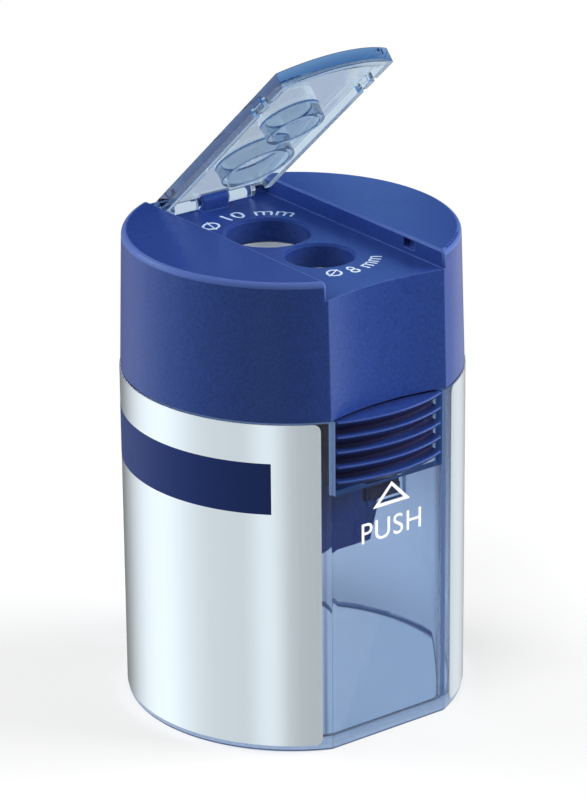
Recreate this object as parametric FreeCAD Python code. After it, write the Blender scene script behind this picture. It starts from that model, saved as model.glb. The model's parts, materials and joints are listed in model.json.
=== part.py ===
import FreeCAD, Part
import math
import os

# Two-hole tub pencil sharpener with a flip-up lid and a press-to-release head.
# Millimetres. +Z is up, the front with the press pad faces -Y, and the origin is the centre of the base.

V = FreeCAD.Vector
X_AXIS = V(1, 0, 0)
Y_AXIS = V(0, 1, 0)
Z_AXIS = V(0, 0, 1)
ORIGIN = V(0, 0, 0)

# Tub
TUB_HEIGHT = 44.1
TUB_RADIUS = 21.6
TUB_WALL = 1.5
TUB_FLOOR = 1.3
FLAT_HALF = 8.9
FLAT_WALL = 1.4
TUB_CORNER_ROUND = 0.25
TUB_BASE_ROUND = 0.4
TUB_INNER_CORNER = 4.0
TUB_INNER_FLOOR_ROUND = 0.6

# Foil labels
LABEL_THICK = 0.1
LABEL_GLUE = 0.02
LABEL_MARGIN = 1.3
LABEL_TOP_GAP = 0.05
LABEL_BASE_GAP = 0.9
LABEL_CORNER = 1.0

# Head
SEAT_GAP = 0.2
HEAD_HEIGHT = 17.7
HEAD_DRAFT = 0.5
HEAD_WALL = 1.9
FRONT_DISH = 1.2
RIM_ROUND = 0.7
CHANNEL_DEPTH = 2.3
CHANNEL_PLATE = 1.6
CHANNEL_ROUND = 0.3
SKIRT_DEPTH = 4.0
SKIRT_WALL = 1.2
SKIRT_FIT = 0.25
SKIRT_LAP = 1.5
SKIRT_FRONT_GAP = 6.0

# Pencil holes
LARGE_HOLE = 10.6
SMALL_HOLE = 8.5
HOLE_BRIDGE = 1.05
HOLE_LEAD = 0.3
COLLAR_LENGTH = 3.1
COLLAR_WALL = 1.2

# Lid
LID_OPEN = 42.0
LID_PLATE = 1.0
LID_DEPTH = 2.0
LID_SIDE_GAP = 0.5
LID_FRONT_INSET = 1.4
LID_FRONT_BOW = 2.3
LID_RIM = 1.0
LID_LIP = 1.2
LID_STEP = 1.4
LID_STEP_DEPTH = 0.45
RING_FIT = 0.35
RING_WALL = 0.8
RING_LENGTH = 2.0
SNAP_BEHIND_FRONT = 6.0
SNAP_WIDTH = 2.2
SNAP_HEIGHT = 1.2
SNAP_DEPTH = 0.6
BUMP_STAND = 0.25
RIM_SLIT = 0.7

# Lid hinge
HINGE_FROM_BACK = 2.15
HINGE_BELOW_TOP = 1.15
HINGE_ROD_RADIUS = 0.95
HINGE_PIN_RADIUS = 0.6
HINGE_PIN_FIT = 0.05
KNUCKLE_HALF = 1.9
KNUCKLE_RADIUS = 1.15
KNUCKLE_GAP = 0.25
ROD_OUTER = 6.4
BACK_POST_HEIGHT = 1.6
BACK_POST_THICK = 0.85
BACK_NOTCH_DROP = 2.0

# Press latch
BAY_HALF = 8.3
PAD_GAP = 0.3
SILL_GAP = 0.9
RIB_COUNT = 5
RIB_PITCH = 1.96
RIB_DEPTH = 1.45
RIB_NOSE = 0.15
LAST_RIB = 1.0
RIB_INSET = 0.25
PAD_BACK = 2.7
LATCH_PIVOT_RISE = 2.1
LATCH_BEAD_RADIUS = 0.9
LATCH_PIN_RADIUS = 0.7
LATCH_PIN_FIT = 0.05
LATCH_BEAD_HALF = 5.8
LATCH_EAR_THICK = 1.4
LATCH_EAR_RADIUS = 1.4
LATCH_STEM = 1.4
TONGUE_HALF = 2.6
TONGUE_THICK = 1.0
TONGUE_DROP = 3.6
NOSE_STAND = 0.6
NOSE_HEIGHT = 1.4
NOTCH_DEPTH = 0.7
NOTCH_HEIGHT = 2.9

# Metal sharpener
BLADE_TILT = 15.0
BLOCK_HEIGHT = 24.0
BLOCK_FIT = 0.1
BLOCK_EDGE = 0.05
ENTRY_DEPTH = 2.5
CONE_TIP = 0.35
BLADE_LENGTH = 21.0
BLADE_WIDTH = 5.6
BLADE_THICK = 0.6
BLADE_LEAD = 0.5
BLADE_SIDE = 0.3
SLOT_WIDTH = 2.6
SLOT_DEPTH = 1.6
SCREW_ALONG = 15.0
SCREW_RADIUS = 1.2
SCREW_FIT = 0.05
SCREW_LENGTH = 3.0
SCREW_HEAD_RADIUS = 2.0
SCREW_HEAD = 0.9
SCREW_SLOT = 0.5

# Carrier that holds the metal sharpener in the head. Its place is the share of the spare room,
# between the latch ears and the skirt, that lies in front of it.
CARRIER_WALL = 1.0
CARRIER_DROP = 34.5
CARRIER_FOOT = 1.9
LEDGE = 1.0
CARRIER_PLACE = 0.125

# Heights and places that follow from the sizes above
FLAT_Y = math.sqrt(TUB_RADIUS**2 - FLAT_HALF**2)
FLAT_INNER_Y = FLAT_Y - FLAT_WALL
TUB_INNER_RADIUS = TUB_RADIUS - TUB_WALL
SKIRT_RADIUS = TUB_INNER_RADIUS - SKIRT_FIT
SKIRT_BORE = SKIRT_RADIUS - SKIRT_WALL
SKIRT_FLAT_Y = FLAT_INNER_Y - SKIRT_FIT
SKIRT_BACK_Y = SKIRT_FLAT_Y - SKIRT_WALL
HEAD_BOTTOM = TUB_HEIGHT + SEAT_GAP
HEAD_TOP = HEAD_BOTTOM + HEAD_HEIGHT
HEAD_TOP_RADIUS = TUB_RADIUS - HEAD_DRAFT
FLAT_TOP_Y = math.sqrt(HEAD_TOP_RADIUS**2 - FLAT_HALF**2)
LEAN = (FLAT_Y - FLAT_TOP_Y) / HEAD_HEIGHT
CHANNEL_FLOOR = HEAD_TOP - CHANNEL_DEPTH
CEILING = CHANNEL_FLOOR - CHANNEL_PLATE
DISH_RADIUS = (FLAT_HALF**2 + FRONT_DISH**2) / (2 * FRONT_DISH)
DISH_CENTRE_Y = FRONT_DISH - FLAT_Y - DISH_RADIUS
FRONT_INNER_Y = FRONT_DISH - FLAT_TOP_Y + HEAD_WALL
COLLAR_BOTTOM = CHANNEL_FLOOR - COLLAR_LENGTH
HINGE_Y = FLAT_TOP_Y - HINGE_FROM_BACK
HINGE_Z = HEAD_TOP - HINGE_BELOW_TOP
LID_HALF = FLAT_HALF - LID_SIDE_GAP
LID_UNDER = HEAD_TOP - LID_PLATE
LID_RIM_Z = HEAD_TOP - LID_DEPTH
LID_CORNER_Y = LID_FRONT_INSET - FLAT_Y
SNAP_Y = LID_CORNER_Y + SNAP_BEHIND_FRONT
SNAP_Z = HEAD_TOP - LID_PLATE
PAD_TOP = HEAD_BOTTOM - PAD_GAP
PAD_BOTTOM = PAD_TOP - (RIB_COUNT - 1) * RIB_PITCH - LAST_RIB
SILL = PAD_BOTTOM - SILL_GAP
PAD_HALF = BAY_HALF - PAD_GAP
PAD_BACK_Y = PAD_BACK - FLAT_Y
LATCH_Y = FRONT_INNER_Y + PAD_GAP + LATCH_BEAD_RADIUS
LATCH_Z = HEAD_BOTTOM + LATCH_PIVOT_RISE
BLOCK_TOP = COLLAR_BOTTOM - BLOCK_FIT
BLOCK_BOTTOM = BLOCK_TOP - BLOCK_HEIGHT
BLOCK_BACK_X = -(LARGE_HOLE / 2 + COLLAR_WALL + BLOCK_EDGE)
SMALL_REACH = max(BLADE_WIDTH + BLADE_SIDE, SMALL_HOLE / 2 + COLLAR_WALL + BLOCK_EDGE)
LARGE_REACH = LARGE_HOLE / 2 + COLLAR_WALL + BLOCK_EDGE
HOLE_PITCH = (LARGE_HOLE + SMALL_HOLE) / 2 + HOLE_BRIDGE
CARRIER_LAP = BLOCK_FIT + CARRIER_WALL
CARRIER_DEPTH = SMALL_REACH + HOLE_PITCH + LARGE_REACH + 2 * CARRIER_LAP
EAR_BACK_Y = LATCH_Y + LATCH_EAR_RADIUS
SPARE_ROOM = SKIRT_BACK_Y - EAR_BACK_Y - CARRIER_DEPTH
BLOCK_FRONT_Y = EAR_BACK_Y + CARRIER_PLACE * SPARE_ROOM + CARRIER_LAP
SMALL_HOLE_Y = BLOCK_FRONT_Y + SMALL_REACH
LARGE_HOLE_Y = SMALL_HOLE_Y + HOLE_PITCH
BLOCK_REAR_Y = LARGE_HOLE_Y + LARGE_REACH
TILT = math.tan(math.radians(BLADE_TILT))
CONE_TOP = BLOCK_TOP - ENTRY_DEPTH
LARGE_BORE = LARGE_HOLE / 2
SMALL_BORE = SMALL_HOLE / 2
FACE_TOP_X = LARGE_BORE + ENTRY_DEPTH * TILT + BLADE_THICK / math.cos(math.radians(BLADE_TILT))
CARRIER_BOTTOM = CEILING - CARRIER_DROP
FAR = 4 * TUB_RADIUS


def box(x0, x1, y0, y1, z0, z1):
    return Part.makeBox(x1 - x0, y1 - y0, z1 - z0, V(x0, y0, z0))


def post(radius, y, z0, z1):
    return Part.makeCylinder(radius, z1 - z0, V(0, y, z0))


def rod(radius, x0, x1, y, z):
    return Part.makeCylinder(radius, x1 - x0, V(x0, y, z), X_AXIS)


def fuse(first, *others):
    return first.multiFuse(list(others)).removeSplitter()


def mirrored(shape):
    return shape.mirror(ORIGIN, X_AXIS)


def prism(points, direction):
    """Closed outline through the points, pushed along a direction."""
    wire = Part.makePolygon(points + points[:1])
    return Part.Face(wire).extrude(direction)


def flatted(radius, flat_y, z0, z1):
    """Round bar along Z with a flat at the front and at the back."""
    return post(radius, 0, z0, z1).common(box(-radius, radius, -flat_y, flat_y, z0, z1))


def upright_edges(shape):
    return [edge for edge in shape.Edges if abs(edge.tangentAt(edge.FirstParameter).z) > 0.99]


def along_y(edge):
    return abs(edge.tangentAt(edge.FirstParameter).y) > 0.99


def level_edges(shape, z):
    return [edge for edge in shape.Edges if all(abs(v.Z - z) < 1e-6 for v in edge.Vertexes)]


def make_tub():
    outer = flatted(TUB_RADIUS, FLAT_Y, 0, TUB_HEIGHT)
    outer = outer.makeFillet(TUB_CORNER_ROUND, upright_edges(outer))
    outer = outer.makeFillet(TUB_BASE_ROUND, level_edges(outer, 0))
    hollow = flatted(TUB_INNER_RADIUS, FLAT_INNER_Y, TUB_FLOOR, TUB_HEIGHT + TUB_WALL)
    hollow = hollow.makeFillet(TUB_INNER_CORNER, upright_edges(hollow))
    hollow = hollow.makeFillet(TUB_INNER_FLOOR_ROUND, level_edges(hollow, TUB_FLOOR))
    bay = box(-BAY_HALF, BAY_HALF, -FAR, PAD_BACK_Y, SILL, FAR)
    notch_half = TONGUE_HALF + PAD_GAP
    notch_front = -FLAT_INNER_Y - NOTCH_DEPTH
    notch = box(-notch_half, notch_half, notch_front, PAD_BACK_Y, SILL - NOTCH_HEIGHT, SILL + TUB_WALL)
    return outer.cut(hollow).cut(bay).cut(notch)


def make_label():
    """Foil round the right-hand side, with its rounded corners."""
    inner = TUB_RADIUS + LABEL_GLUE
    outer = inner + LABEL_THICK
    low = LABEL_BASE_GAP
    high = TUB_HEIGHT - LABEL_TOP_GAP
    section = [V(inner, 0, low), V(outer, 0, low), V(outer, 0, high), V(inner, 0, high)]
    start = math.degrees(math.asin(FLAT_HALF / TUB_RADIUS) + LABEL_MARGIN / TUB_RADIUS)
    face = Part.Face(Part.makePolygon(section + section[:1]))
    face.rotate(ORIGIN, Z_AXIS, start - 90)
    foil = face.revolve(ORIGIN, Z_AXIS, 180 - 2 * start)
    corners = [edge for edge in foil.Edges if edge.Length < 2 * LABEL_THICK]
    return foil.makeFillet(LABEL_CORNER, corners)


def head_form():
    """Outside of the head: drafted round sides, dished front, flat back and the channel across the top."""
    slant = RIM_ROUND * (1 - math.sqrt(0.5))
    side_top = V(HEAD_TOP_RADIUS, 0, HEAD_TOP - RIM_ROUND)
    rim_middle = V(HEAD_TOP_RADIUS - slant, 0, HEAD_TOP - slant)
    rim_top = V(HEAD_TOP_RADIUS - RIM_ROUND, 0, HEAD_TOP)
    edges = [
        Part.makeLine(V(0, 0, HEAD_BOTTOM), V(TUB_RADIUS, 0, HEAD_BOTTOM)),
        Part.makeLine(V(TUB_RADIUS, 0, HEAD_BOTTOM), side_top),
        Part.Arc(side_top, rim_middle, rim_top).toShape(),
        Part.makeLine(rim_top, V(0, 0, HEAD_TOP)),
        Part.makeLine(V(0, 0, HEAD_TOP), V(0, 0, HEAD_BOTTOM)),
    ]
    form = Part.Face(Part.Wire(edges)).revolve(ORIGIN, Z_AXIS, 360)
    below = HEAD_BOTTOM - HEAD_WALL
    rise = HEAD_HEIGHT + 2 * HEAD_WALL
    dish_foot = V(0, DISH_CENTRE_Y - LEAN * HEAD_WALL, below)
    dish = Part.Face(Part.Wire(Part.makeCircle(DISH_RADIUS, dish_foot))).extrude(V(0, LEAN * rise, rise))
    back_y = FLAT_Y + LEAN * HEAD_WALL
    back_foot = [V(-FAR, back_y, below), V(FAR, back_y, below), V(FAR, FAR, below), V(-FAR, FAR, below)]
    back = prism(back_foot, V(0, -LEAN * rise, rise))
    channel = box(-FLAT_HALF, FLAT_HALF, -FAR, FAR, CHANNEL_FLOOR, FAR)
    form = form.cut(dish).cut(back).cut(channel)
    lips = [edge for edge in level_edges(form, HEAD_TOP) if along_y(edge)]
    return form.makeFillet(CHANNEL_ROUND, lips)


def head_hollow():
    """Space inside the head, deeper under the two shoulders than under the channel."""
    radius = HEAD_TOP_RADIUS - HEAD_WALL
    inside_back = FLAT_TOP_Y - HEAD_WALL
    low = HEAD_BOTTOM - HEAD_WALL
    space = post(radius, 0, low, HEAD_TOP - HEAD_WALL)
    under_shoulder = FLAT_HALF + HEAD_WALL
    space = space.cut(box(-under_shoulder, under_shoulder, -FAR, FAR, CEILING, FAR))
    space = space.cut(box(-FAR, FAR, inside_back, FAR, 0, FAR))
    front_wall = post(DISH_RADIUS, FRONT_INNER_Y - DISH_RADIUS, low, HEAD_TOP)
    return space.cut(front_wall)


def head_skirt():
    """Spigot that plugs into the mouth of the tub on the round sides and the back."""
    low = HEAD_BOTTOM - SKIRT_DEPTH
    high = HEAD_BOTTOM + SKIRT_LAP
    ring = flatted(SKIRT_RADIUS, SKIRT_FLAT_Y, low, high)
    ring = ring.cut(flatted(SKIRT_BORE, SKIRT_BACK_Y, low, high))
    return ring.common(box(-FAR, FAR, SKIRT_FRONT_GAP - SKIRT_FLAT_Y, FAR, low, high))


def latch_ear():
    """Bearing for the right-hand end of the latch pin, hung from the front wall of the head."""
    inner = LATCH_BEAD_HALF + PAD_GAP
    outer = inner + LATCH_EAR_THICK
    root_y = FRONT_INNER_Y - HEAD_WALL / 2
    hanger = box(inner, outer, root_y, LATCH_Y, LATCH_Z - LATCH_EAR_RADIUS, LATCH_Z + LATCH_EAR_RADIUS)
    return fuse(hanger, rod(LATCH_EAR_RADIUS, inner, outer, LATCH_Y, LATCH_Z))


def hinge_knuckle():
    """Lug at the back of the channel that the lid turns on."""
    base_low = CHANNEL_FLOOR - CHANNEL_PLATE / 2
    front = HINGE_Y - KNUCKLE_RADIUS
    back = HINGE_Y + KNUCKLE_RADIUS
    base = box(-KNUCKLE_HALF, KNUCKLE_HALF, front, back, base_low, HINGE_Z)
    return fuse(base, rod(KNUCKLE_RADIUS, -KNUCKLE_HALF, KNUCKLE_HALF, HINGE_Y, HINGE_Z))


def back_post():
    """Stub of wall at the right-hand back corner of the channel, with its square pocket."""
    inner = ROD_OUTER + KNUCKLE_GAP
    front = FLAT_TOP_Y - BACK_POST_THICK
    top = CHANNEL_FLOOR + BACK_POST_HEIGHT
    stub = box(inner, FLAT_HALF, front, FLAT_TOP_Y, CHANNEL_FLOOR - CHANNEL_PLATE, top)
    middle = (inner + FLAT_HALF) / 2
    half = SNAP_WIDTH / 2 - BUMP_STAND
    low = CHANNEL_FLOOR + BUMP_STAND
    pocket = box(middle - half, middle + half, 0, front + SNAP_DEPTH, low, low + SNAP_HEIGHT)
    return stub.cut(pocket)


def back_notch():
    """Opening behind the right-hand hinge rod, through the top of the back wall."""
    front = FLAT_TOP_Y - BACK_POST_THICK
    return box(KNUCKLE_HALF, ROD_OUTER + KNUCKLE_GAP, front, FAR, CHANNEL_FLOOR - BACK_NOTCH_DROP, FAR)


def snap_pocket():
    """Pocket in the right-hand channel wall for the snap bump of the lid."""
    low = SNAP_Z - SNAP_HEIGHT / 2
    front = SNAP_Y - SNAP_WIDTH / 2
    return box(0, FLAT_HALF + SNAP_DEPTH, front, front + SNAP_WIDTH, low, low + SNAP_HEIGHT)


def pencil_hole(diameter, y):
    radius = diameter / 2
    lead = Part.makeCone(radius, radius + HOLE_LEAD, HOLE_LEAD, V(0, y, CHANNEL_FLOOR - HOLE_LEAD))
    return fuse(post(radius, y, COLLAR_BOTTOM - HEAD_WALL, CHANNEL_FLOOR + HEAD_WALL), lead)


def make_head_shell():
    notch = back_notch()
    form = head_form().cut(notch).cut(mirrored(notch)).cut(snap_pocket().fuse(mirrored(snap_pocket())))
    shell = form.cut(head_hollow())
    collars = [
        post(LARGE_HOLE / 2 + COLLAR_WALL, LARGE_HOLE_Y, COLLAR_BOTTOM, CHANNEL_FLOOR - HOLE_LEAD),
        post(SMALL_HOLE / 2 + COLLAR_WALL, SMALL_HOLE_Y, COLLAR_BOTTOM, CHANNEL_FLOOR - HOLE_LEAD),
    ]
    ear = latch_ear()
    corner = back_post()
    added = collars + [head_skirt(), ear, mirrored(ear), hinge_knuckle(), corner, mirrored(corner)]
    shell = fuse(shell, *added)
    shell = shell.cut(pencil_hole(LARGE_HOLE, LARGE_HOLE_Y)).cut(pencil_hole(SMALL_HOLE, SMALL_HOLE_Y))
    latch_reach = LATCH_BEAD_HALF + PAD_GAP + LATCH_EAR_THICK
    shell = shell.cut(rod(LATCH_PIN_RADIUS + LATCH_PIN_FIT, -latch_reach, latch_reach, LATCH_Y, LATCH_Z))
    return shell.cut(rod(HINGE_PIN_RADIUS + HINGE_PIN_FIT, -KNUCKLE_HALF, KNUCKLE_HALF, HINGE_Y, HINGE_Z))


def rib_outline():
    """Half section of the ribbed pad: flat tops, rounded noses, undersides that slope back at 45 degrees."""
    nose_x = TUB_RADIUS - RIB_INSET
    root_x = nose_x - RIB_DEPTH
    core_x = root_x - PAD_BACK
    edges = []
    last = V(core_x, 0, PAD_TOP)
    for number in range(RIB_COUNT):
        top = PAD_TOP - number * RIB_PITCH
        root = V(root_x, 0, top)
        start = V(nose_x - RIB_NOSE, 0, top)
        tip = V(nose_x, 0, top - RIB_NOSE)
        end = V(nose_x - RIB_NOSE, 0, top - 2 * RIB_NOSE)
        drop = RIB_DEPTH - RIB_NOSE
        if number == RIB_COUNT - 1:
            drop = LAST_RIB - 2 * RIB_NOSE
        foot = V(end.x - drop, 0, end.z - drop)
        edges += [Part.makeLine(last, root), Part.makeLine(root, start)]
        edges += [Part.Arc(start, tip, end).toShape(), Part.makeLine(end, foot)]
        last = foot
    bottom = V(core_x, 0, last.z)
    edges += [Part.makeLine(last, bottom), Part.makeLine(bottom, V(core_x, 0, PAD_TOP))]
    return Part.Face(Part.Wire(edges))


def make_press_latch():
    ring = rib_outline().revolve(ORIGIN, Z_AXIS, 360)
    pad = ring.common(box(-PAD_HALF, PAD_HALF, -FAR, PAD_BACK_Y, PAD_BOTTOM, PAD_TOP))
    stem_front = LATCH_Y - LATCH_BEAD_RADIUS
    stem_back = stem_front + LATCH_STEM
    stem_low = PAD_TOP - LATCH_STEM
    bridge_front = PAD_BACK_Y - TONGUE_THICK
    bridge = box(-LATCH_BEAD_HALF, LATCH_BEAD_HALF, bridge_front, stem_back, stem_low, PAD_TOP)
    stem = box(-LATCH_BEAD_HALF, LATCH_BEAD_HALF, stem_front, stem_back, stem_low, LATCH_Z)
    bead = rod(LATCH_BEAD_RADIUS, -LATCH_BEAD_HALF, LATCH_BEAD_HALF, LATCH_Y, LATCH_Z)
    pin_half = LATCH_BEAD_HALF + PAD_GAP + LATCH_EAR_THICK
    pin = rod(LATCH_PIN_RADIUS, -pin_half, pin_half, LATCH_Y, LATCH_Z)
    tongue_front = PAD_GAP - FLAT_INNER_Y
    tongue_back = max(tongue_front, PAD_BACK_Y - TONGUE_THICK) + TONGUE_THICK
    low = PAD_BOTTOM - TONGUE_DROP
    tongue = box(-TONGUE_HALF, TONGUE_HALF, tongue_front, tongue_back, low, PAD_BOTTOM + TONGUE_THICK)
    nose_half = TONGUE_HALF - PAD_GAP
    nose_low = low + PAD_GAP
    nose_front = tongue_front - NOSE_STAND
    nose = box(-nose_half, nose_half, nose_front, tongue_back, nose_low, nose_low + NOSE_HEIGHT)
    return fuse(pad, bridge, stem, bead, pin, tongue, nose)


def lid_outline(shift, z0, z1):
    """Plan of the closed lid with its bowed front edge, moved back by a shift."""
    corner_y = LID_CORNER_Y + shift
    left = V(-LID_HALF, corner_y, z0)
    right = V(LID_HALF, corner_y, z0)
    front = V(0, corner_y - LID_FRONT_BOW, z0)
    back_left = V(-LID_HALF, HINGE_Y, z0)
    back_right = V(LID_HALF, HINGE_Y, z0)
    edges = [
        Part.Arc(left, front, right).toShape(),
        Part.makeLine(right, back_right),
        Part.makeLine(back_right, back_left),
        Part.makeLine(back_left, left),
    ]
    return Part.Face(Part.Wire(edges)).extrude(V(0, 0, z1 - z0))


def plug_ring(diameter, y):
    outer = diameter / 2 - RING_FIT
    low = LID_UNDER - RING_LENGTH
    high = LID_UNDER + LID_PLATE / 2
    return post(outer, y, low, high).cut(post(outer - RING_WALL, y, low, high))


def lid_side():
    """Right-hand rim with the slits that free its snap bump."""
    rim_in = LID_HALF - LID_RIM
    high = LID_UNDER + LID_PLATE / 2
    rim = box(rim_in, LID_HALF, LID_CORNER_Y + LID_LIP / 2, HINGE_Y - KNUCKLE_RADIUS, LID_RIM_Z, high)
    bump_y = SNAP_WIDTH / 2 - BUMP_STAND
    for side in (-1, 1):
        middle = SNAP_Y + side * (SNAP_WIDTH / 2 + RIM_SLIT / 2)
        rim = rim.cut(box(0, FAR, middle - RIM_SLIT / 2, middle + RIM_SLIT / 2, 0, LID_UNDER))
    bump_low = SNAP_Z - SNAP_HEIGHT / 2 + BUMP_STAND
    bump = box(rim_in, LID_HALF + BUMP_STAND, SNAP_Y - bump_y, SNAP_Y + bump_y, bump_low, high)
    return fuse(rim, bump)


def hinge_rod():
    """Right-hand hinge rod of the lid with the pin that runs in the knuckle."""
    inner = KNUCKLE_HALF + KNUCKLE_GAP
    barrel = rod(HINGE_ROD_RADIUS, inner, ROD_OUTER, HINGE_Y, HINGE_Z)
    return fuse(barrel, rod(HINGE_PIN_RADIUS, KNUCKLE_GAP, inner, HINGE_Y, HINGE_Z))


def make_lid():
    high = LID_UNDER + LID_PLATE / 2
    plate = lid_outline(0, LID_UNDER, HEAD_TOP)
    notch_half = KNUCKLE_HALF + KNUCKLE_GAP
    notch_front = HINGE_Y - KNUCKLE_RADIUS - KNUCKLE_GAP
    plate = plate.cut(box(-notch_half, notch_half, notch_front, FAR, 0, FAR))
    lip = lid_outline(0, LID_RIM_Z, high).cut(lid_outline(LID_LIP, LID_RIM_Z, high))
    step_z = LID_UNDER - LID_STEP_DEPTH
    step = lid_outline(LID_LIP / 2, step_z, high).cut(lid_outline(LID_LIP + LID_STEP, step_z, high))
    side = lid_side()
    rods = hinge_rod()
    rings = [plug_ring(LARGE_HOLE, LARGE_HOLE_Y), plug_ring(SMALL_HOLE, SMALL_HOLE_Y)]
    lid = fuse(plate, lip, step, side, mirrored(side), rods, mirrored(rods), *rings)
    lid.rotate(V(0, HINGE_Y, HINGE_Z), X_AXIS, -LID_OPEN)
    return lid


def on_blade_face(shape, radius, y):
    """Moves a shape to a blade seat: its X runs down the seat and its Z out of it, from the cone's top."""
    shape.rotate(ORIGIN, Y_AXIS, 90 + BLADE_TILT)
    shape.translate(V(radius, y, CONE_TOP))
    return shape


def pencil_cone(radius, y):
    length = (radius - CONE_TIP) / TILT
    cone = Part.makeCone(CONE_TIP, radius, length, V(0, y, CONE_TOP - length))
    return fuse(cone, post(radius, y, CONE_TOP, BLOCK_TOP + ENTRY_DEPTH))


def blade_cuts(radius, y):
    """Seat, shaving slot and screw hole of one blade."""
    seat = box(-BLADE_LEAD - BLOCK_FIT, FAR, -BLADE_WIDTH - BLOCK_FIT, 0, 0, FAR)
    slot = box(-BLADE_LEAD - BLOCK_FIT, FAR, 0, SLOT_WIDTH, -SLOT_DEPTH, FAR)
    place = V(SCREW_ALONG, -BLADE_WIDTH / 2, 0)
    hole = Part.makeCylinder(SCREW_RADIUS + SCREW_FIT, SCREW_LENGTH + SCREW_FIT, place, -Z_AXIS)
    return on_blade_face(fuse(seat, slot, hole), radius, y)


def make_sharpener_block():
    foot_x = FACE_TOP_X - BLOCK_HEIGHT * TILT
    outline = [
        V(BLOCK_BACK_X, BLOCK_FRONT_Y, BLOCK_BOTTOM),
        V(foot_x, BLOCK_FRONT_Y, BLOCK_BOTTOM),
        V(FACE_TOP_X, BLOCK_FRONT_Y, BLOCK_TOP),
        V(BLOCK_BACK_X, BLOCK_FRONT_Y, BLOCK_TOP),
    ]
    block = prism(outline, V(0, BLOCK_REAR_Y - BLOCK_FRONT_Y, 0))
    for radius, y in ((LARGE_BORE, LARGE_HOLE_Y), (SMALL_BORE, SMALL_HOLE_Y)):
        block = block.cut(pencil_cone(radius, y)).cut(blade_cuts(radius, y))
    return block


def make_blade(radius, y):
    """Flat blade with a screw hole and its long cutting edge ground to a bevel."""
    end = BLADE_LENGTH - BLADE_LEAD
    section = [
        V(-BLADE_LEAD, -BLADE_WIDTH, 0),
        V(-BLADE_LEAD, 0, 0),
        V(-BLADE_LEAD, -2 * BLADE_THICK, BLADE_THICK),
        V(-BLADE_LEAD, -BLADE_WIDTH, BLADE_THICK),
    ]
    blade = prism(section, V(end + BLADE_LEAD, 0, 0))
    hole = Part.makeCylinder(SCREW_RADIUS + SCREW_FIT, BLADE_THICK, V(SCREW_ALONG, -BLADE_WIDTH / 2, 0))
    return on_blade_face(blade.cut(hole), radius, y)


def make_screw(radius, y):
    place = V(SCREW_ALONG, -BLADE_WIDTH / 2, -SCREW_LENGTH)
    shank = Part.makeCylinder(SCREW_RADIUS, SCREW_LENGTH + BLADE_THICK, place)
    head = Part.makeCylinder(SCREW_HEAD_RADIUS, SCREW_HEAD, V(place.x, place.y, BLADE_THICK))
    top = BLADE_THICK + SCREW_HEAD
    half = SCREW_SLOT / 2
    slot = box(place.x - half, place.x + half, -FAR, FAR, top - SCREW_SLOT, FAR)
    return on_blade_face(fuse(shank, head).cut(slot), radius, y)


def make_blade_screws():
    return Part.makeCompound([make_screw(LARGE_BORE, LARGE_HOLE_Y), make_screw(SMALL_BORE, SMALL_HOLE_Y)])


def make_insert_carrier():
    """Two flanks and a back wall that hang from the head, with a ledge under the metal sharpener."""
    left = BLOCK_BACK_X - CARRIER_LAP
    front = BLOCK_FRONT_Y - CARRIER_LAP
    rear = BLOCK_REAR_Y + CARRIER_LAP
    outline = [
        V(left, 0, CARRIER_BOTTOM),
        V(CARRIER_FOOT, 0, CARRIER_BOTTOM),
        V(CARRIER_FOOT + CARRIER_DROP * TILT, 0, CEILING),
        V(left, 0, CEILING),
    ]
    flank = prism(outline, V(0, CARRIER_WALL, 0))
    front_flank = flank.translated(V(0, front, 0))
    rear_flank = flank.translated(V(0, rear - CARRIER_WALL, 0))
    wall = box(left, left + CARRIER_WALL, front, rear, CARRIER_BOTTOM, CEILING)
    ledge_top = BLOCK_BOTTOM - BLOCK_FIT
    ledge_end = BLOCK_BACK_X + LEDGE
    ledge = box(left, ledge_end, front, rear, ledge_top - CARRIER_WALL, ledge_top)
    carrier = fuse(front_flank, rear_flank, wall, ledge)
    return carrier.common(post(SKIRT_BORE - SKIRT_FIT, 0, CARRIER_BOTTOM, CEILING))


def save(name, shape):
    shape.exportStep(os.path.join("parts", name + ".step"))


def main():
    os.makedirs("parts", exist_ok=True)
    label = make_label()
    save("tub", make_tub())
    save("right_label", label)
    save("left_label", mirrored(label))
    save("head_shell", make_head_shell())
    save("press_latch", make_press_latch())
    save("lid", make_lid())
    save("insert_carrier", make_insert_carrier())
    save("sharpener_block", make_sharpener_block())
    save("large_blade", make_blade(LARGE_BORE, LARGE_HOLE_Y))
    save("small_blade", make_blade(SMALL_BORE, SMALL_HOLE_Y))
    save("blade_screws", make_blade_screws())


main()
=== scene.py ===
import json
import math

import bmesh
import bpy
from bpy.props import FloatProperty, FloatVectorProperty, PointerProperty
from mathutils import Matrix, Vector


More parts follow.
